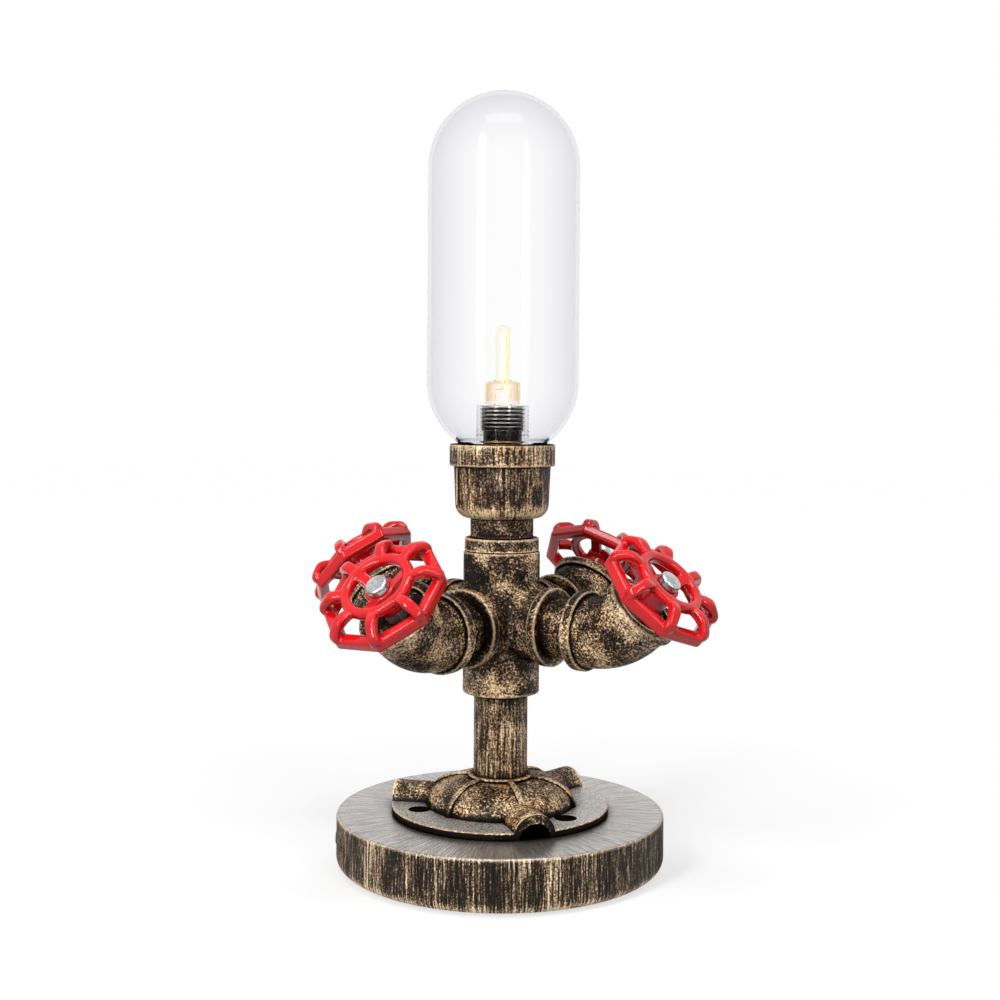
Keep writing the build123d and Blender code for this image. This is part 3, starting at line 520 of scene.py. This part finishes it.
# Name: colour, shade, roughness, grain in cells per metre, depth of the grain.
DULL = {
    "white_ceramic": ((0.80, 0.78, 0.73), (0.62, 0.59, 0.53), 0.42, 1200.0, 0.04 * MM),
    "felt": ((0.030, 0.030, 0.031), (0.012, 0.012, 0.012), 0.85, 1800.0, 0.30 * MM),
    "black_rubber": ((0.028, 0.027, 0.026), (0.012, 0.012, 0.012), 0.60, 1300.0, 0.05 * MM),
    "block_plastic": ((0.72, 0.70, 0.64), (0.58, 0.56, 0.50), 0.48, 700.0, 0.03 * MM),
    "lead_brown": ((0.17, 0.065, 0.028), (0.10, 0.04, 0.018), 0.44, 800.0, 0.02 * MM),
    "lead_blue": ((0.04, 0.13, 0.38), (0.025, 0.08, 0.26), 0.44, 800.0, 0.02 * MM),
}
MATERIALS = {
    "aged_iron": rubbed_bronze("aged_iron", cover=0.03, drift=1.2, tops=-0.30),
    "base_paint": brushed_base("base_paint"),
    "dark_iron": rubbed_bronze("dark_iron", cover=-0.07, drift=1.4),
    "sandy_flange": rubbed_bronze("sandy_flange", cover=0.07, drift=1.1, warmth=0.45, dark_walls=True),
    "brushed_hub": rubbed_bronze("brushed_hub", cover=-0.09, drift=1.3, bands=HUB_BANDS),
    "brushed_stem": rubbed_bronze("brushed_stem", cover=-0.01, strokes=(14.0, 48.0)),
    "brushed_cup": rubbed_bronze("brushed_cup", cover=-0.07, strokes=(22.0, 60.0), bands=CUP_BANDS),
    "red_enamel": red_enamel("red_enamel"),
    "dark_nickel": ringed_nickel("dark_nickel"),
    "clear_glass": blown_glass("clear_glass", colour=WHITE, rim_colour=(0.79, 0.79, 0.83, 1),
                               wave=45.0, depth=0.03 * MM, ior=1.11,
                               stain=(0.36, 0.35, 0.46, 1), stain_density=9.0),
    "bulb_glass": blown_glass("bulb_glass", colour=(1, 0.995, 0.975, 1), rim_colour=(0.97, 0.91, 0.74, 1),
                              wave=260.0, depth=0.01 * MM, ior=1.08,
                              stain=(1.0, 0.80, 0.40, 1), stain_density=5.0,
                              foot=(BULB_FOOT, (0.80, 0.55, 0.22, 1))),
    "glowing_filament": glowing("glowing_filament", AMBER, strength=6.0),
    # The bulb's lead-in wires give no light of their own: their faint amber glow is a painted reflection
    # of the filament's glow.
    "glowing_wire": glowing("glowing_wire", DEEP_AMBER, strength=0.45, metallic=0.6),
}
MATERIALS.update({name: plated(name, *values) for name, values in PLATED.items()})
MATERIALS.update({name: dull(name, *values) for name, values in DULL.items()})

# Pieces that don't wear the material of their slot, but a version of it for their own place.
OWN_LOOK = {"stem_pipe": "brushed_stem", "lamp_cup": "brushed_cup", "floor_flange": "sandy_flange",
            "hub_cross": "brushed_hub", "reducing_bush": "brushed_hub"}

# ---- pieces -------------------------------------------------------------------------------------
CAST_VOXEL = 0.40 * MM
SMOOTHING, SMOOTHING_PASSES = 0.5, 3


def dress(target, look):
    target.data.materials.clear()
    target.data.materials.append(MATERIALS[look])


def soften_casting(node):
    """A copy with soft edges and filled corners in place of a CAD node, made from the node's form."""
    copy = bpy.data.objects.new(node + "_cast", NODES[node].data.copy())
    bpy.context.scene.collection.objects.link(copy)
    remesh = copy.modifiers.new("even", "REMESH")
    remesh.mode = "VOXEL"
    remesh.voxel_size = CAST_VOXEL
    smooth = copy.modifiers.new("soft", "SMOOTH")
    smooth.factor = SMOOTHING
    smooth.iterations = SMOOTHING_PASSES
    bpy.context.view_layer.update()
    shaped = bpy.data.meshes.new_from_object(copy.evaluated_get(bpy.context.evaluated_depsgraph_get()))
    copy.modifiers.clear()
    copy.data = shaped
    shaped.shade_smooth()
    dress(copy, SLOT_OF[node])
    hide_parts(node)
    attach(copy, BODY_OF[node])


for name, node in NODES.items():
    dress(node, OWN_LOOK.get(name, SLOT_OF[name]))

for arm in (1, 2, 3, 4):
    soften_casting(f"handwheel_{arm}")

# ---- floor and world ----------------------------------------------------------------------------
FLOOR_SIZE = 8
NEAR_TO_FAR = (0.10, 0.34)      # distances from the lamp's axis
FLOOR_GLOW = (0.66, 0.99)       # what the eye sees of the floor by itself, near and far
FLOOR_SHADE = (0.32, 0.02)      # its own colour, on which the shadow falls, near and far
WORLD_LIGHT, BACKDROP = 0.22, 1.0


def make_floor():
    """A pale floor that shows white, but for the lamp's soft shadow close around it."""
    bpy.ops.mesh.primitive_plane_add(size=FLOOR_SIZE)
    floor = bpy.context.object
    floor.name = "floor"
    t = Paint("floor")
    t.tree.nodes.remove(t.shader)
    reach = t.add("ShaderNodeVectorMath", operation="LENGTH")
    t.put(reach.inputs[0], t.place)
    distance = reach.outputs["Value"]
    glow = t.times(t.sees_backdrop(), t.step(distance, *NEAR_TO_FAR, *FLOOR_GLOW))
    lit = t.fill(t.add("ShaderNodeEmission"), Color=WHITE, Strength=glow)
    matte = t.fill(t.add("ShaderNodeBsdfDiffuse"), Color=t.step(distance, *NEAR_TO_FAR, *FLOOR_SHADE))
    both = t.add("ShaderNodeAddShader")
    t.put(both.inputs[0], matte.outputs[0])
    t.put(both.inputs[1], lit.outputs[0])
    t.put(t.output.inputs["Surface"], both.outputs[0])
    floor.data.materials.append(t.material)


def make_world():
    """A white backdrop that lights the lamp only weakly."""
    world = bpy.data.worlds.new("studio")
    bpy.context.scene.world = world
    world.use_nodes = True
    g = Graph(world.node_tree)
    strength = g.step(g.sees_backdrop(), 0.0, 1.0, WORLD_LIGHT, BACKDROP)
    g.fill(g.tree.nodes["Background"], Color=WHITE, Strength=strength)


# ---- lamps and camera ---------------------------------------------------------------------------
AIM = Vector((0, 0, 0.16))
# Name: place as (right, up, away), width, height, watts.
SOFTBOXES = {
    "left_box": ((-0.75, 0.70, -1.05), 0.24, 1.2, 18.0),
    "right_box": ((0.72, 0.65, -1.05), 0.20, 1.2, 7.0),
    "top_box": ((0.0, 1.4, -0.35), 0.9, 0.35, 10.0),
}


def from_photo(right, up, away):
    """A point given as seen from the camera's side: right, up and away from the lamp's axis."""
    turn = math.radians(VIEW_AZIMUTH)
    return Vector((right * math.cos(turn) - away * math.sin(turn),
                   right * math.sin(turn) + away * math.cos(turn), up))


def make_softbox(name, place, width, height, watts):
    light = bpy.data.lights.new(name, "AREA")
    light.shape = "RECTANGLE"
    light.size, light.size_y, light.energy = width, height, watts
    lamp = bpy.data.objects.new(name, light)
    lamp.location = from_photo(*place)
    lamp.rotation_euler = (AIM - lamp.location).to_track_quat("-Z", "Y").to_euler()
    bpy.context.scene.collection.objects.link(lamp)


def make_camera():
    camera = bpy.data.objects.new("camera", bpy.data.cameras.new("camera"))
    right, back = from_photo(1, 0, 0), from_photo(0, 0, -1)
    facing = Matrix((right, (0, 0, 1), back)).transposed().to_4x4()
    place = Matrix.Translation(from_photo(CAMERA_ASIDE, CAMERA_HEIGHT, -CAMERA_DISTANCE))
    camera.matrix_world = place @ facing @ Matrix.Rotation(math.radians(CAMERA_ROLL), 4, "Z")
    camera.data.sensor_width = SENSOR
    camera.data.lens = SENSOR * FOCAL_PIXELS / IMAGE_SIDE
    camera.data.shift_x = 0.5 - PRINCIPAL_X / IMAGE_SIDE
    camera.data.shift_y = PRINCIPAL_Y / IMAGE_SIDE - 0.5
    bpy.context.scene.collection.objects.link(camera)
    bpy.context.scene.camera = camera


make_floor()
make_world()
for name, values in SOFTBOXES.items():
    make_softbox(name, *values)
make_camera()
bpy.context.scene.view_settings.view_transform = "Standard"
